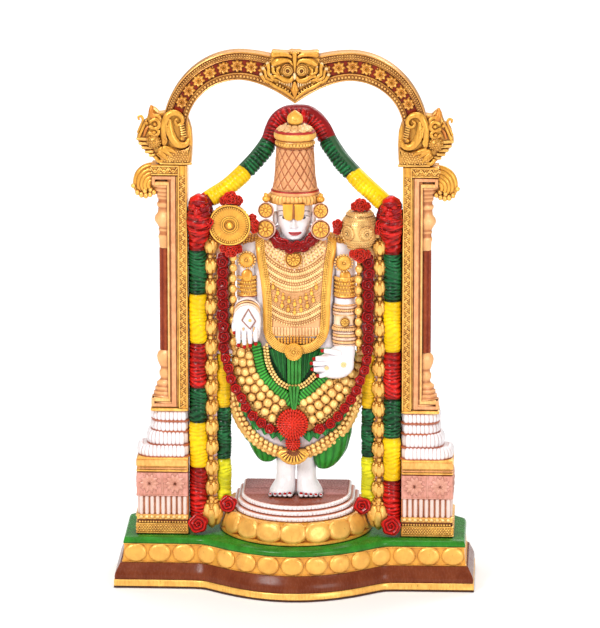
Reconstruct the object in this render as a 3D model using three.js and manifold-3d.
import * as THREE from "three";
import { mergeVertices } from "three/addons/utils/BufferGeometryUtils.js";
import Module from "manifold-3d";

// A standing four-armed shrine figure on a round lotus pedestal. Two pillars and an arch frame it,
// and a thick thread garland hangs over its crown and down both pillars. All of it stands on a
// bow-fronted stepped plinth.
// Millimetres, +Z up, the front faces -Y, the origin is the middle of the underside.

const wasm = await Module();
wasm.setup();

// Clearances
const seatGap = 0.3;
const sideGap = 0.45;

// Plinth
const plinthDepth = 80;
const baseBandHeight = 4.8;
const mouldingHeight = 9.4;
const roundelBandHeight = 10.2;
const slabHeight = 3.6;
const slabSideLedge = 5.8;
const plinthFlare = 6.2;
const bowDepth = 23;
const bowHalfWidth = 50;
const bowSoftness = 3;
const roundelCount = 15;
const roundelThickness = 1.4;
const backCornerChamfer = 6;
const slabTop = baseBandHeight + mouldingHeight + roundelBandHeight + slabHeight;
const plinthBack = plinthDepth / 2;
const bowReach = (bowDepth + Math.hypot(bowDepth, bowSoftness)) / 2;
const slabFront = -plinthDepth / 2 + plinthFlare + bowReach;

// Lotus pedestal
const pedestalRadius = 43.2;
const pedestalTopRadius = 28.4;
const ringsRadius = 34.9;
const footRimHeight = 1.9;
const petalHeight = 9.5;
const ringHeight = 2.8;
const ringCount = 3;
const petalPitchAngle = 19.5;
const petalsPerSide = 4;
const petalThickness = 2;
const pedestalLedge = 7;
const pedestalFoot = slabTop + seatGap;
const pedestalTop = pedestalFoot + footRimHeight + petalHeight + ringCount * ringHeight;
const pedestalCentreY = slabFront - bowReach + pedestalLedge + pedestalRadius;

// Figure: its own shapes are in shares of its height, 1 share being a 220th of it
const figureHeight = 220.6;
const figureShare = figureHeight / 220.6;
const figureY = 12;
const figureHalfWidth = 42.7 * figureShare;
const crownRimRadius = 12.2 * figureShare;
const crownY = figureY - 1;
const solesZ = pedestalTop + seatGap;
const crownTipZ = solesZ + figureHeight;

// Garland
const strandRadius = 5.2;
const chainRadius = 4;
const innerGarlandRadius = 4.4;
const innerGarlandY = 7.4;
const strandChainLap = 2.1;
const strandY = 3;
const chainY = 3.6;
const chainPitch = 11.3;
const roseRadius = 5.5;
const roseReach = 7.6;
const garlandLean = 1.3;
const garlandCrownY = crownY + crownRimRadius + sideGap + strandRadius;
const chainX = figureHalfWidth + sideGap + chainRadius;
const innerGarlandX = chainX - chainRadius - innerGarlandRadius + strandChainLap;
const strandX = chainX + chainRadius - strandChainLap + strandRadius;

// Pillars
const pillarWidth = 29.2;
const pillarDepth = 30;
const pillarFront = -5;
const pillarFootHeight = 6.9;
const beadRowHeight = 3.6;
const fluteHeight = 11.5;
const panelHeight = 13.9;
const bandHeight = 8.5;
const rollHeights = [6, 7.8, 6.1, 6.4];
const rollInsets = [0.3, 5.4, 7.6, 7.6];
const rollsDepth = 19;
const rollInnerCorner = 4;
const rollOuterCorner = 8;
const shaftWidth = 12.7;
const shaftDepth = 15;
const shaftFront = -0.6;
const frameBorderWidth = 5.2;
const frameRelief = 1.4;
const colonnetteRadius = 4;
const fluteCount = 9;
const pillarInnerX = strandX + strandRadius + sideGap / 2;
const pillarFoot = slabTop + seatGap;

// Arch
const archDepth = 8;
const archFootWidth = 14.4;
const archCrownWidth = 16.2;
const archPeakX = 30.4;
const archRise = 44.4;
const archOuterDip = 5.8;
const archInnerDip = 13;
const outerRimWidth = 4.2;
const innerRimWidth = 3.6;
const rimRelief = 1.1;
const crownClearance = 18.8;
const archPeakZ = crownTipZ + crownClearance + archCrownWidth;
const pillarTop = archPeakZ - archRise - 19.9;
const flutesBottom = pillarFoot + pillarFootHeight + beadRowHeight;
const rollsBottom = flutesBottom + fluteHeight + panelHeight + bandHeight;
const rollsTop = rollsBottom + rollHeights.reduce((sum, height) => sum + height, 0);
const headSeatZ = pillarTop + seatGap;

const slabHalfWidth = pillarInnerX + pillarWidth + slabSideLedge;

// Solid building

function solidFrom(geometry) {
  const bare = geometry.index ? geometry.toNonIndexed() : geometry.clone();
  bare.deleteAttribute("normal");
  bare.deleteAttribute("uv");
  const merged = mergeVertices(bare, 1e-4);
  const corners = merged.index.array;
  const kept = [];
  for (let i = 0; i < corners.length; i += 3) {
    const [a, b, c] = [corners[i], corners[i + 1], corners[i + 2]];
    if (a !== b && b !== c && c !== a) {
      kept.push(a, b, c);
    }
  }
  const vertProperties = Float32Array.from(merged.attributes.position.array);
  const triVerts = Uint32Array.from(kept);
  return new wasm.Manifold(new wasm.Mesh({ numProp: 3, vertProperties, triVerts }));
}

function joined(geometries) {
  const whole = geometries.map(solidFrom).reduce((sum, piece) => sum.add(piece));
  return geometryOf(whole);
}

function geometryOf(solid) {
  const mesh = solid.getMesh();
  const geometry = new THREE.BufferGeometry();
  geometry.setAttribute("position", new THREE.BufferAttribute(mesh.vertProperties, 3));
  geometry.setIndex(new THREE.BufferAttribute(mesh.triVerts, 1));
  geometry.computeVertexNormals();
  return geometry;
}

// Closed body through rings of equal point counts, each ring counter-clockwise seen from its far end
function stack(rings) {
  const count = rings[0].length;
  const positions = rings.flat().flatMap((point) => [point.x, point.y, point.z]);
  const index = [];
  for (let level = 0; level + 1 < rings.length; level += 1) {
    for (let i = 0; i < count; i += 1) {
      const a = level * count + i;
      const b = level * count + ((i + 1) % count);
      index.push(a, b, b + count, a, b + count, a + count);
    }
  }
  const flat = (ring) => ring.map((point) => new THREE.Vector2(point.x, point.y));
  for (const [a, b, c] of THREE.ShapeUtils.triangulateShape(flat(rings[0]), [])) {
    index.push(a, c, b);
  }
  const last = (rings.length - 1) * count;
  for (const [a, b, c] of THREE.ShapeUtils.triangulateShape(flat(rings.at(-1)), [])) {
    index.push(last + a, last + b, last + c);
  }
  const geometry = new THREE.BufferGeometry();
  geometry.setAttribute("position", new THREE.Float32BufferAttribute(positions, 3));
  geometry.setIndex(index);
  return geometry;
}

function atHeight(outline, z) {
  return outline.map((point) => new THREE.Vector3(point.x, point.y, z));
}

function mirrored(geometry) {
  const copy = geometry.clone().scale(-1, 1, 1);
  const corners = copy.index.array;
  for (let i = 0; i < corners.length; i += 3) {
    [corners[i + 1], corners[i + 2]] = [corners[i + 2], corners[i + 1]];
  }
  return copy;
}

function bothSides(geometry) {
  const indexed = geometry.index ? geometry : mergeVertices(geometry, 1e-4);
  return [indexed, mirrored(indexed)];
}

function box(x0, x1, y0, y1, z0, z1) {
  const geometry = new THREE.BoxGeometry(x1 - x0, y1 - y0, z1 - z0);
  return geometry.translate((x0 + x1) / 2, (y0 + y1) / 2, (z0 + z1) / 2);
}

function ball(radius, x, y, z, sides = 8, stretch = [1, 1, 1]) {
  const geometry = new THREE.SphereGeometry(radius, sides, Math.ceil(sides * 0.6));
  return geometry.rotateX(Math.PI / 2).scale(...stretch).translate(x, y, z);
}

// Round disc facing the front, with its face at y0 a little smaller than its back at y1
function disc(radius, x, z, y0, y1, sides = 12) {
  const geometry = new THREE.CylinderGeometry(radius, radius * 0.88, y1 - y0, sides);
  return geometry.translate(x, (y0 + y1) / 2, z);
}

// Turned body about the vertical line through x, y, from [radius, height] pairs
function turned(profile, x, y, sides) {
  const points = profile.map(([radius, height]) => new THREE.Vector2(radius, height));
  return new THREE.LatheGeometry(points, sides).rotateX(Math.PI / 2).translate(x, y, 0);
}

// Constant section swept along a smooth curve through the points, flat across the depth if thin.
// A square section is widened, because its flats lie well inside its corners.
function rope(points, halfWidth, steps, sides = 8, halfThickness = halfWidth) {
  const places = points.map((point) => new THREE.Vector3(...point));
  const curve = new THREE.CatmullRomCurve3(places, false, "centripetal");
  const section = new THREE.Shape();
  const reach = sides === 4 ? 1.2 : 1;
  for (let i = 0; i < sides; i += 1) {
    const angle = ((i + 0.5) / sides) * 2 * Math.PI;
    const place = [reach * halfThickness * Math.cos(angle), reach * halfWidth * Math.sin(angle)];
    if (i === 0) {
      section.moveTo(...place);
    } else {
      section.lineTo(...place);
    }
  }
  return new THREE.ExtrudeGeometry(section, { steps, bevelEnabled: false, extrudePath: curve });
}

// Flat shape drawn in x and z, swept from y0 back to y1
function plate(outline, y0, y1) {
  const shape = new THREE.Shape(outline);
  const geometry = new THREE.ExtrudeGeometry(shape, { depth: y1 - y0, bevelEnabled: false });
  return geometry.rotateX(Math.PI / 2).translate(0, y1, 0);
}

// Plinth

function frontLine(x) {
  const arc = bowDepth * (1 - (x / bowHalfWidth) ** 2);
  return 0.5 * (arc + Math.hypot(arc, bowSoftness));
}

function bowOutline(offset) {
  const steps = 12;
  const half = slabHalfWidth + offset;
  const reach = bowHalfWidth * 1.3;
  const points = [new THREE.Vector2(-half, slabFront - offset)];
  for (let i = 0; i <= steps; i += 1) {
    const x = reach * ((2 * i) / steps - 1);
    points.push(new THREE.Vector2(x, slabFront - offset - frontLine(x)));
  }
  points.push(new THREE.Vector2(half, slabFront - offset));
  points.push(new THREE.Vector2(half, plinthBack - backCornerChamfer));
  points.push(new THREE.Vector2(half - backCornerChamfer, plinthBack));
  points.push(new THREE.Vector2(backCornerChamfer - half, plinthBack));
  points.push(new THREE.Vector2(-half, plinthBack - backCornerChamfer));
  return points;
}

function roundels(bandBottom, offset) {
  const samples = 400;
  const half = slabHalfWidth + offset;
  const line = [];
  for (let i = 0; i <= samples; i += 1) {
    const x = half * ((2 * i) / samples - 1);
    line.push(new THREE.Vector3(x, slabFront - offset - frontLine(x), 0));
  }
  const path = new THREE.CatmullRomCurve3(line);
  const pitch = path.getLength() / roundelCount;
  const halfHeight = roundelBandHeight / 2 - 0.2;
  const discs = [];
  for (let i = 0; i < roundelCount; i += 1) {
    const share = (i + 0.5) / roundelCount;
    const place = path.getPointAt(share);
    const along = path.getTangentAt(share);
    const geometry = new THREE.CylinderGeometry(pitch * 0.47, pitch * 0.4, roundelThickness * 2, 7);
    geometry.scale(1, 1, halfHeight / (pitch * 0.47));
    geometry.rotateZ(Math.atan2(along.y, along.x));
    discs.push(geometry.translate(place.x, place.y, bandBottom + roundelBandHeight / 2));
  }
  return discs;
}

function makePlinth() {
  const mouldingTop = baseBandHeight + mouldingHeight;
  const bandTop = mouldingTop + roundelBandHeight;
  const levels = [
    [0, plinthFlare],
    [baseBandHeight, plinthFlare],
    [baseBandHeight, plinthFlare * 0.93],
    [baseBandHeight + mouldingHeight * 0.35, plinthFlare * 0.9],
    [mouldingTop, plinthFlare * 0.5],
    [mouldingTop, plinthFlare * 0.27],
    [bandTop, plinthFlare * 0.1],
    [bandTop, plinthFlare * 0.16],
    [slabTop, 0],
  ];
  const body = stack(levels.map(([z, offset]) => atHeight(bowOutline(offset), z)));
  return joined([body, ...roundels(mouldingTop, plinthFlare * 0.18)]);
}

// Lotus pedestal

function roundFrontOutline(radius) {
  const steps = 12;
  const points = [];
  for (let i = 0; i <= steps; i += 1) {
    const angle = Math.PI + (Math.PI * i) / steps;
    const [along, across] = [radius * Math.cos(angle), radius * Math.sin(angle)];
    points.push(new THREE.Vector2(along, pedestalCentreY + across));
  }
  points.push(new THREE.Vector2(radius, plinthBack));
  points.push(new THREE.Vector2(-radius, plinthBack));
  return points;
}

function makePedestal() {
  const petalsFoot = pedestalFoot + footRimHeight;
  const petalsTop = petalsFoot + petalHeight;
  const petalRadius = pedestalRadius - 2.6;
  const levels = [
    [pedestalFoot, pedestalRadius],
    [petalsFoot, pedestalRadius],
    [petalsFoot, petalRadius - 0.4],
    [petalsFoot + petalHeight * 0.45, petalRadius],
    [petalsTop, ringsRadius + 0.8],
  ];
  const ringStep = (ringsRadius - pedestalTopRadius) / ringCount;
  for (let ring = 0; ring < ringCount; ring += 1) {
    const z = petalsTop + ring * ringHeight;
    const radius = ringsRadius - ring * ringStep;
    levels.push([z, radius]);
    levels.push([z + ringHeight * 0.75, radius - ringStep * 0.15]);
  }
  levels.push([pedestalTop, pedestalTopRadius]);
  const pieces = [stack(levels.map(([z, radius]) => atHeight(roundFrontOutline(radius), z)))];
  const petalHalfWidth = (petalRadius * petalPitchAngle * Math.PI) / 360;
  for (let i = -petalsPerSide; i <= petalsPerSide; i += 1) {
    const angle = THREE.MathUtils.degToRad(i * petalPitchAngle);
    const petal = new THREE.CylinderGeometry(petalHalfWidth, petalHalfWidth * 0.72, petalThickness * 2, 6);
    petal.scale(1, 1, (petalHeight * 0.53) / petalHalfWidth);
    petal.rotateX(-0.3).translate(0, -petalRadius + 0.4, petalsFoot + petalHeight / 2 + 0.3).rotateZ(angle);
    pieces.push(petal.translate(0, pedestalCentreY, 0));
  }
  return joined(pieces);
}

// Pillars

// Block outline with its two front corners rounded, the inner edge flush with the pillar's inner face
function blockOutline(outerX, front, back, innerCorner, outerCorner) {
  const points = [new THREE.Vector2(pillarInnerX, back)];
  const arcSteps = 2;
  for (let i = 0; i <= arcSteps; i += 1) {
    const angle = (Math.PI / 2) * (i / arcSteps);
    const x = pillarInnerX + innerCorner * (1 - Math.cos(angle));
    points.push(new THREE.Vector2(x, front + innerCorner * (1 - Math.sin(angle))));
  }
  for (let i = 0; i <= arcSteps; i += 1) {
    const angle = (Math.PI / 2) * (1 - i / arcSteps);
    const x = outerX - outerCorner * (1 - Math.cos(angle));
    points.push(new THREE.Vector2(x, front + outerCorner * (1 - Math.sin(angle))));
  }
  points.push(new THREE.Vector2(outerX, back));
  return points;
}

function makeBaseBlock() {
  const outerX = pillarInnerX + pillarWidth;
  const back = pillarFront + pillarDepth;
  const zones = [
    [pillarFootHeight, 0], [beadRowHeight, 0.7], [fluteHeight, 1.5], [panelHeight, 0.2], [bandHeight, 0.6],
  ];
  const pieces = [];
  let z = pillarFoot;
  for (const [height, inset] of zones) {
    pieces.push(box(pillarInnerX, outerX - inset, pillarFront + inset, back, z, z + height));
    z += height;
  }
  const rings = [];
  rollHeights.forEach((height, i) => {
    const inset = rollInsets[i];
    for (const [share, swell] of [[0.04, 0.9], [0.45, 0], [1, 1.2]]) {
      const front = pillarFront + 0.6 + inset * 0.45 + swell;
      const outline = blockOutline(
        outerX - inset - swell, front, pillarFront + rollsDepth, rollInnerCorner, rollOuterCorner,
      );
      rings.push(atHeight(outline, z + height * share - 0.3));
    }
    z += height;
  });
  return [...pieces, stack(rings)];
}

function makeFlutes() {
  const pitch = (pillarWidth - 1.6) / fluteCount;
  const [low, high] = [flutesBottom + 0.5, flutesBottom + fluteHeight - 0.5];
  return Array.from({ length: fluteCount }, (_, i) => {
    const x = pillarInnerX + 0.4 + (i + 0.5) * pitch;
    return box(x - pitch * 0.38, x + pitch * 0.38, pillarFront + 0.6, pillarFront + 2, low, high);
  });
}

function makeShaft() {
  const outerX = pillarInnerX + shaftWidth;
  const back = shaftFront + shaftDepth;
  const borderFront = shaftFront - frameRelief;
  const edgeX = pillarInnerX + frameBorderWidth;
  const barX = outerX + colonnetteRadius * 2.1;
  const footBar = 3.6;
  const headBar = 6.3;
  const recessX = edgeX + 4.4;
  const recessFront = shaftFront - frameRelief * 0.45;
  return [
    box(pillarInnerX, outerX, shaftFront, back, rollsTop - 0.5, pillarTop),
    box(pillarInnerX, edgeX, borderFront, shaftFront + 0.5, rollsTop, pillarTop),
    box(edgeX, recessX, recessFront, shaftFront + 0.5, rollsTop + footBar, pillarTop - headBar),
    box(pillarInnerX, barX, borderFront, back - 2, rollsTop - 0.5, rollsTop + footBar),
    box(pillarInnerX, barX - 1, borderFront, back - 2, pillarTop - headBar, pillarTop),
  ];
}

function makeColonnette() {
  const x = pillarInnerX + shaftWidth - 0.4;
  const low = rollsTop + 3;
  const high = pillarTop - 9;
  const r = colonnetteRadius;
  const profile = [
    [0, low], [r * 2.35, low], [r * 1.9, low + 5], [r * 1.05, low + 15], [r * 1.55, low + 27],
    [r, low + 37], [r, high - 38], [r * 1.15, high - 28], [r * 1.65, high - 20.5],
    [r * 1.05, high - 10], [r * 1.8, high - 3], [r * 1.9, high], [0, high],
  ];
  return turned(profile, x, shaftFront + colonnetteRadius - 0.4, 6);
}

function makeBracket() {
  const radius = 10;
  const x = pillarInnerX + shaftWidth + 4.6;
  const z = pillarTop - radius - 0.2;
  const outline = [];
  const steps = 8;
  for (let i = 0; i <= steps; i += 1) {
    const angle = Math.PI / 2 - (Math.PI * 1.08 * i) / steps;
    outline.push(new THREE.Vector2(x + radius * 0.92 * Math.cos(angle), z + radius * Math.sin(angle)));
  }
  outline.push(new THREE.Vector2(x - 3, z - radius * 0.7));
  outline.push(new THREE.Vector2(x - 3, z + radius));
  return [
    plate(outline, shaftFront + 0.6, shaftFront + 9),
    bracketRib(radius * 0.7, 1.3, x, z),
    ball(2.9, x + radius * 1.19, shaftFront + 4, z - 1.5, 6),
  ];
}

// Raised rib along a half circle that opens toward the shaft
function bracketRib(reach, thickness, x, z) {
  const points = [];
  for (let i = 0; i <= 4; i += 1) {
    const angle = Math.PI / 2 - (Math.PI * i) / 4;
    points.push([x + reach * 0.92 * Math.cos(angle), shaftFront + 0.7, z + reach * Math.sin(angle)]);
  }
  return rope(points, thickness, 5, 4);
}

function makePillar() {
  return joined([...makeBaseBlock(), ...makeFlutes(), ...makeShaft(), makeColonnette(), ...makeBracket()]);
}

// Arch

// Half of an arch line, from the foot at footX up to the peak and on to the dip in the middle
function halfArch(footX, peakZ, rise, dip) {
  const arcSteps = 7;
  const dipSteps = 3;
  const points = [];
  for (let i = 0; i <= arcSteps; i += 1) {
    const angle = (Math.PI / 2) * (i / arcSteps);
    const x = archPeakX + (footX - archPeakX) * Math.cos(angle);
    points.push(new THREE.Vector2(x, peakZ - rise * (1 - Math.sin(angle))));
  }
  for (let i = 1; i <= dipSteps; i += 1) {
    const share = i / dipSteps;
    points.push(new THREE.Vector2(archPeakX * (1 - share), peakZ - dip * share ** 1.7));
  }
  return points;
}

function bandLine(inward) {
  const share = inward / archCrownWidth;
  const footX = pillarInnerX + archFootWidth * (1 - share);
  const rise = archRise + 5.2 - (archRise + 5.2 - 27.6) * share;
  return halfArch(footX, archPeakZ - inward, rise, archOuterDip + (archInnerDip - archOuterDip) * share);
}

function bandPlate(outerInward, innerInward, y0, y1) {
  const outer = bandLine(outerInward);
  const inner = bandLine(innerInward);
  const footZ = headSeatZ + 8;
  const half = [new THREE.Vector2(outer[0].x, footZ), ...outer];
  const back = [...inner.reverse(), new THREE.Vector2(inner.at(-1).x, footZ)];
  const mirror = (points) => points.map((point) => new THREE.Vector2(-point.x, point.y));
  const left = mirror([...half]).reverse().slice(1);
  const right = mirror([...back]).reverse().slice(0, -1);
  return plate([...half, ...left, ...right, ...back], y0, y1);
}

function makeMask() {
  const top = archPeakZ + 1;
  const outline = [
    [0, -28.4], [5.5, -24.4], [12, -20.4], [16.6, -17.4], [19.4, -12], [16.6, -6.4], [13.6, -4.4], [13, 0],
  ];
  const right = outline.map(([x, z]) => new THREE.Vector2(x, top + z));
  const left = right.slice(1).map((point) => new THREE.Vector2(-point.x, point.y)).reverse();
  const brow = [[0, -4.6], [5, -2.2], [11.4, -3]];
  const lid = [[1.4, -7.6], [6, -5.6], [12.4, -8.2]];
  const lip = [[0.8, -15.4], [5.4, -17], [10.4, -15.4], [14, -12]];
  const along = (line, y) => line.map(([x, z]) => [x, y, top + z]);
  return [
    plate([...right, ...left], -1.2, archDepth - 2),
    ...bothSides(rope(along(brow, -1.2), 1.9, 2, 4)),
    ...bothSides(rope(along(lid, -1.2), 1.6, 3, 4)),
    ...bothSides(rope(along(lip, -1), 1.5, 3, 4)),
    ...bothSides(ball(3.4, 4.4, -1.5, top - 11, 5, [1, 0.7, 1])),
    ball(2.8, 0, -1.4, top - 22.4, 5, [0.7, 0.6, 1.5]),
  ];
}

// Beast head on the springing block: body, trunk loop, feather ball, curl and wing ribs
function makeBeastHead() {
  const x = pillarInnerX;
  const z = headSeatZ;
  const body = [
    [-2.2, 0], [16.4, 0], [18.4, 2.6], [21.6, 5.4], [26.4, 10.8], [28, 14.2], [27, 18], [25, 23],
    [22.2, 24.4], [21.8, 28], [20.6, 32.4], [19, 33.4], [17.2, 31], [15.6, 28], [-0.6, 27], [-2.6, 19],
  ];
  const trunk = [
    [3, 14.4], [6.4, 11.6], [9.8, 15.4], [11.8, 21.6], [10, 27.4], [6.2, 29], [2.9, 26.4], [3.2, 22.6],
  ];
  const at = ([px, pz], y) => [x + px, y, z + pz];
  return [
    plate(body.map(([px, pz]) => new THREE.Vector2(x + px, z + pz)), 0.6, archDepth),
    box(x - 1.2, x + 13, -1.6, 2, z, z + 9.4),
    rope(trunk.map((point) => at(point, -0.8)), 2.3, 8, 4),
    rope([at([26.8, 18], 3), at([25.6, 25.4], 3)], 2.2, 1, 5),
    ball(4.5, x + 18.1, -0.2, z + 13, 5, [1, 0.7, 0.9]),
    ball(3.4, x + 17.6, 0.2, z + 22, 5, [1, 0.6, 1.4]),
    rope([at([19.4, 12.6], 0.4), at([27, 14.4], 1)], 1.1, 1, 4),
    rope([at([19, 9], 0.4), at([24.4, 10], 1)], 1.1, 1, 4),
    rope([at([17.4, 5], 0.4), at([21, 6], 1)], 1.1, 1, 4),
  ];
}

function makeArch() {
  const inner = archCrownWidth - innerRimWidth;
  return joined([
    bandPlate(0, archCrownWidth, rimRelief, archDepth),
    bandPlate(0, outerRimWidth, 0, rimRelief + 0.5),
    bandPlate(inner, archCrownWidth, 0, rimRelief + 0.5),
    ...makeMask(),
    ...makeBeastHead().flatMap(bothSides),
  ]);
}

// Garland

// Half of the garland's middle line, from the middle of the crown out into a strand; both halves lean to +X
function garlandLine(side) {
  const s = figureShare;
  const tip = crownTipZ;
  const y = strandY;
  const drop = garlandCrownY - y;
  const lean = side * garlandLean;
  return [
    [0, y + drop, tip - 6.3 * s],
    [5.6 * s, y + drop * 0.99, tip - 6.7 * s],
    [10.2 * s, y + drop * 0.96, tip - 9.7 * s],
    [13.6 * s, y + drop * 0.88, tip - 14.4 * s],
    [16.9 * s + lean * 0.5, y + drop * 0.74, tip - 21.4 * s],
    [23.5 * s + lean, y + drop * 0.5, tip - 29.6 * s],
    [31.2 * s + lean, y + drop * 0.32, tip - 37 * s],
    [39 * s + lean, y + drop * 0.18, tip - 43.6 * s],
    [strandX - strandRadius * 1.2, y + drop * 0.08, tip - 50 * s],
    [strandX, y, tip - 55 * s],
  ];
}

// Gold bud chain: a row of turned buds that touch, above one big bud
function makeChain() {
  const bigBudHeight = 17;
  const foot = slabTop + seatGap + 1.2;
  const top = crownTipZ - 71 * figureShare;
  const count = Math.floor((top - foot - bigBudHeight) / chainPitch);
  const pitch = (top - foot - bigBudHeight) / count;
  const r = chainRadius;
  const profile = [[0, foot], [r * 0.6, foot], [r * 1.2, foot + 5], [r * 1.1, foot + 9]];
  for (let i = 0; i < count; i += 1) {
    const low = foot + bigBudHeight + i * pitch;
    profile.push([r * 0.6, low], [r * 1.04, low + pitch * 0.5]);
  }
  profile.push([r * 0.3, top], [0, top]);
  return turned(profile, chainX, chainY, 5);
}

function makeInnerGarland() {
  const top = solesZ + 85.5 * figureShare;
  const foot = pedestalTop - 3.2;
  const line = [top, foot].map((z) => [innerGarlandX, innerGarlandY, z]);
  const rose = ball(roseRadius * 0.9, innerGarlandX - 1.6, innerGarlandY - 5, foot - 0.4, 6);
  return [rope(line, innerGarlandRadius, 1, 6), rose];
}

function makeGarland() {
  const lineOf = (side) => garlandLine(side).map(([x, y, z]) => [side * x, y, z]);
  const whole = [...lineOf(-1).reverse().slice(0, -1), ...lineOf(1)];
  const roseZ = slabTop + seatGap + roseRadius;
  const discFlowerZ = solesZ + 160 * figureShare;
  const strandTop = crownTipZ - 49.4 * figureShare;
  const halfPieces = [
    rope([[strandX, strandY, strandTop], [strandX, strandY, roseZ]], strandRadius, 1, 7),
    makeChain(),
    ...makeInnerGarland(),
    ball(roseRadius, strandX + 0.2, strandY - roseReach, roseZ, 5),
    ball(5, strandX - 3.6, strandY - 6, discFlowerZ - 1, 5, [1, 0.6, 1]),
  ];
  return joined([rope(whole, strandRadius, 22, 7), ...halfPieces.flatMap(bothSides)]);
}

// Figure, built at the reference height with its soles at zero and its middle plane at y zero

function ovalOutline(halfWidth, front, back, x, sides, squareness) {
  const middle = (front + back) / 2;
  const depth = (back - front) / 2;
  const points = [];
  for (let i = 0; i < sides; i += 1) {
    const angle = ((i + 0.5) / sides) * 2 * Math.PI;
    const c = Math.cos(angle);
    const s = Math.sin(angle);
    const px = Math.sign(c) * Math.abs(c) ** squareness * halfWidth;
    points.push(new THREE.Vector2(x + px, middle + Math.sign(s) * Math.abs(s) ** squareness * depth));
  }
  return points;
}

// Rings of ovals from [height, half width, front, back, middle] rows
function ovalLevels(rows, sides, squareness = 0.8) {
  return rows.map(([z, half, front, back, x = 0]) => {
    return atHeight(ovalOutline(half, front, back, x, sides, squareness), z);
  });
}

function makeBody() {
  const levels = [
    [17, 9, -9, 6], [20, 17, -10, 7], [25, 24, -10.5, 8], [33, 31, -11, 9], [45, 34.6, -11, 10],
    [78, 35, -10, 11], [90, 31, -10, 11], [102, 24, -10, 10.5],
    [138, 23, -9.5, 9.5], [144, 25.6, -8, 8.5], [149.4, 19, -6.5, 7.5], [153, 7, -5.5, 6], [158, 6, -6, 6],
  ];
  return stack(ovalLevels(levels, 10));
}

function makeHead() {
  const axisY = crownY - figureY;
  const rim = crownRimRadius / figureShare;
  const profile = [
    [0, 166.4], [13, 166.4], [15, 169], [15, 172], [12.2, 174], [10.4, 198.5], [11, 204],
    [rim, 205], [rim, 210.2], [10, 212.2], [3, 214.8], [3.9, 217.4], [0, 220.6],
  ];
  const levels = [
    [146.8, 2.6, -8.6, -3], [149.4, 5.8, -10.8, 0], [154, 8.4, -11.4, 6], [161, 10.2, -11.2, 9],
    [168, 10.2, -10.4, 9],
  ];
  return [turned(profile, 0, axisY, 10), stack(ovalLevels(levels, 8, 1))];
}

function makeFrontArms() {
  const upper = rope([[25, -1, 144], [27, -1.5, 134], [27.4, -2, 116]], 5.6, 2, 5);
  const armlet = rope([[27.4, -2, 131.6], [27.4, -2, 115]], 6.4, 1, 6);
  const forearm = rope([[27.4, -2.4, 118], [27.6, -5, 105], [27.8, -8, 88]], 6.8, 2, 6);
  const leftWrist = mirrored(mergeVertices(rope([[27, -3, 120], [27, -7, 112]], 7, 1, 6), 1e-4));
  const palmLevels = [
    [88.2, 5.6, -15, -11.6, -26], [92, 7.6, -15.4, -11, -26.4], [107, 8.4, -15.4, -8.4, -26.8],
    [113, 6.4, -13, -5, -26.8],
  ];
  const palm = ovalLevels(palmLevels, 7);
  const handLine = [[29, -13, 87], [26, -14.5, 80], [18, -15, 76.4], [9.6, -15.4, 75.6]];
  return [
    ...bothSides(upper), ...bothSides(armlet), forearm, leftWrist, stack(palm),
    rope(handLine, 6.6, 3, 6, 2.6),
    ball(8, 26.5, -13, 80, 6, [1, 0.5, 1.05]),
    rope([[24, -14, 85], [15.5, -15.2, 87.6]], 1.8, 1, 4),
    rope([[-33, -13.6, 104], [-34.2, -14, 97]], 1.9, 1, 4),
  ];
}

function makeRearArms() {
  const arm = rope([[19, 3, 143], [27, 2, 147], [33, -2, 154], [35.8, -6, 158]], 4.6, 3, 5);
  const wheel = disc(11.5, -36, 158, -14.6, -12.4, 12);
  const potProfile = [
    [0, 144], [5, 144.4], [9.6, 149.6], [10.2, 154], [7.8, 162], [5.6, 165.6], [0, 166],
  ];
  const flower = (x, z, size = 4.6, y = -13.6) => ball(size, x, y, z, 5, [1, 0.55, 1]);
  return [
    ...bothSides(arm), wheel, turned(potProfile, 36, -7.4, 8),
    rope([[-35.9, -4, 158], [-36, -12.8, 158]], 4, 1, 4),
    flower(-35.4, 172, 5), flower(-23.6, 158), flower(-35.5, 143.6, 5), flower(36.4, 169.4, 4.8),
    flower(24.2, 157.6, 4.6, -9), flower(36.2, 141.4, 5, -11),
  ];
}

function makeStrings() {
  const rose = [
    [39.8, -11, 139.5], [39.8, -11.6, 112], [39.6, -12.4, 86], [36.6, -12.4, 72], [33.4, -12, 63.6],
    [28.6, -12, 54.6], [21.8, -12.2, 46], [10.5, -12.4, 38.6],
  ];
  const beads = [[35, -9, 139], [35, -10, 86]];
  const hem = [
    [32.6, -6.5, 56], [32.4, -7, 47], [29.6, -8.6, 39], [23, -10.4, 32.6], [14.4, -11.6, 27.6],
    [0, -12.4, 24.4],
  ];
  const balls = [[31.6, -9.6, 84], [25, -11, 70], [15, -11.8, 59.6], [3, -12, 50.6]];
  return [rope(rose, 2.9, 7, 4), rope(beads, 2.3, 1, 4), rope(hem, 3.2, 4, 4), rope(balls, 6.8, 2, 4, 2.4)];
}

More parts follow.
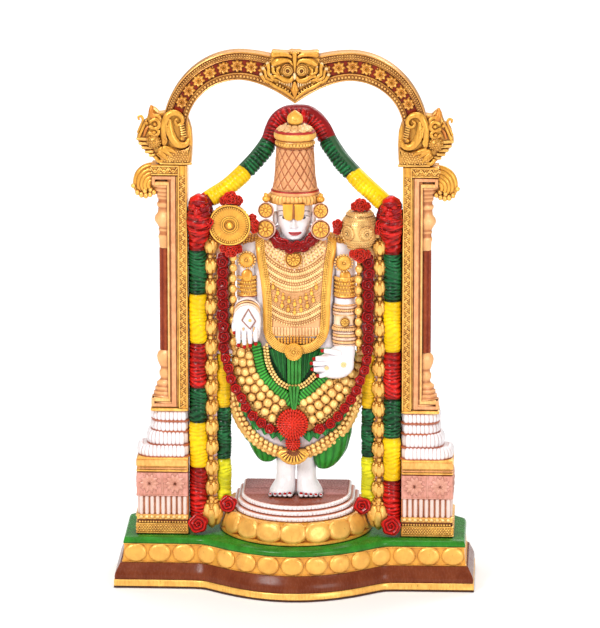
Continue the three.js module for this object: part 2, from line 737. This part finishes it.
function makeFrontOrnaments() {
  const chain = [[18.6, 148], [18.4, 120], [15.8, 100.5], [10.2, 90.8], [0, 86.4]];
  const sash = [[21, 86.6], [17.6, 71], [9.8, 61.6], [0, 54]];
  const wreath = [[12.6, 150.4], [8, 145.4], [0, 142.8]];
  const at = (line, side, y) => line.map(([x, z]) => [side * x, y, z]);
  const whole = (line, y) => [...at(line, -1, y).slice(0, -1), ...at(line, 1, y).reverse()];
  const bib = [[94, 11, -11.2, 0], [99, 14.4, -11.2, 0], [127, 13.6, -10.8, 0]];
  return [
    rope(whole(chain, -10.2), 3.9, 10, 4, 2),
    rope(whole(sash, -11), 3.6, 6, 4, 2.2),
    rope(whole(wreath, -9.6), 2.7, 4, 4),
    stack(ovalLevels(bib, 8)),
    disc(9.2, -0.8, 43.2, -16.4, -10, 9),
    ball(4.3, -0.8, -12.6, 32.2, 5),
    disc(4.8, -0.8, 138, -12.2, -8, 6),
    disc(5.2, 0, 86, -13, -9, 6),
    ball(10.4, 0, -9.6, 25.6, 6, [1, 0.3, 0.62]),
    ball(9.6, 20.4, -3, 23.6, 6, [1, 0.8, 1]),
  ];
}

function makeSideOrnaments() {
  return [
    disc(4.3, 15, 165.2, -11, -5, 6), disc(5.3, 15.2, 155, -11.6, -5, 6), ball(2.8, 15.4, -6, 171.6, 5),
    disc(5, 27, 136.8, -9, -3, 6),
    rope([[12, -3, 148], [21, -2, 148.4], [28, -1, 143]], 3.6, 2, 4),
    ball(8, 19, -3.4, 24.4, 5, [1, 0.9, 1]),
  ];
}

function makeFeet() {
  const levels = [
    [0, 6.5, -9, 7, 8.2], [3.4, 6.3, -8.8, 7, 8], [8, 5.4, -4, 6, 7.3], [20, 5, -4.6, 5.2, 6.8],
  ];
  return stack(ovalLevels(levels, 7));
}

function makeFigure() {
  const paired = [makeFeet(), ...makeStrings(), ...makeSideOrnaments()].flatMap(bothSides);
  const whole = joined([
    makeBody(), ...makeHead(), ...makeFrontArms(), ...makeRearArms(), ...makeFrontOrnaments(), ...paired,
  ]);
  return whole.scale(figureShare, figureShare, figureShare).translate(0, figureY, solesZ);
}

// Scene

function part(name, geometry, color, roughness, metalness) {
  const mesh = new THREE.Mesh(geometry, new THREE.MeshStandardMaterial({ color, roughness, metalness }));
  mesh.name = name;
  return mesh;
}

const pillarGeometry = makePillar();
const shrine = new THREE.Group();
shrine.add(
  part("plinth", makePlinth(), 0xc98a2e, 0.5, 0.1),
  part("lotus_pedestal", makePedestal(), 0xe6b04a, 0.5, 0.1),
  part("left_pillar", mirrored(pillarGeometry), 0xe0a45c, 0.55, 0.1),
  part("right_pillar", pillarGeometry, 0xe0a45c, 0.55, 0.1),
  part("arch", makeArch(), 0xd6a03c, 0.5, 0.1),
  part("garland", makeGarland(), 0xb0181c, 0.35, 0),
  part("figure", makeFigure(), 0xf3e9e2, 0.45, 0),
);

export default shrine;
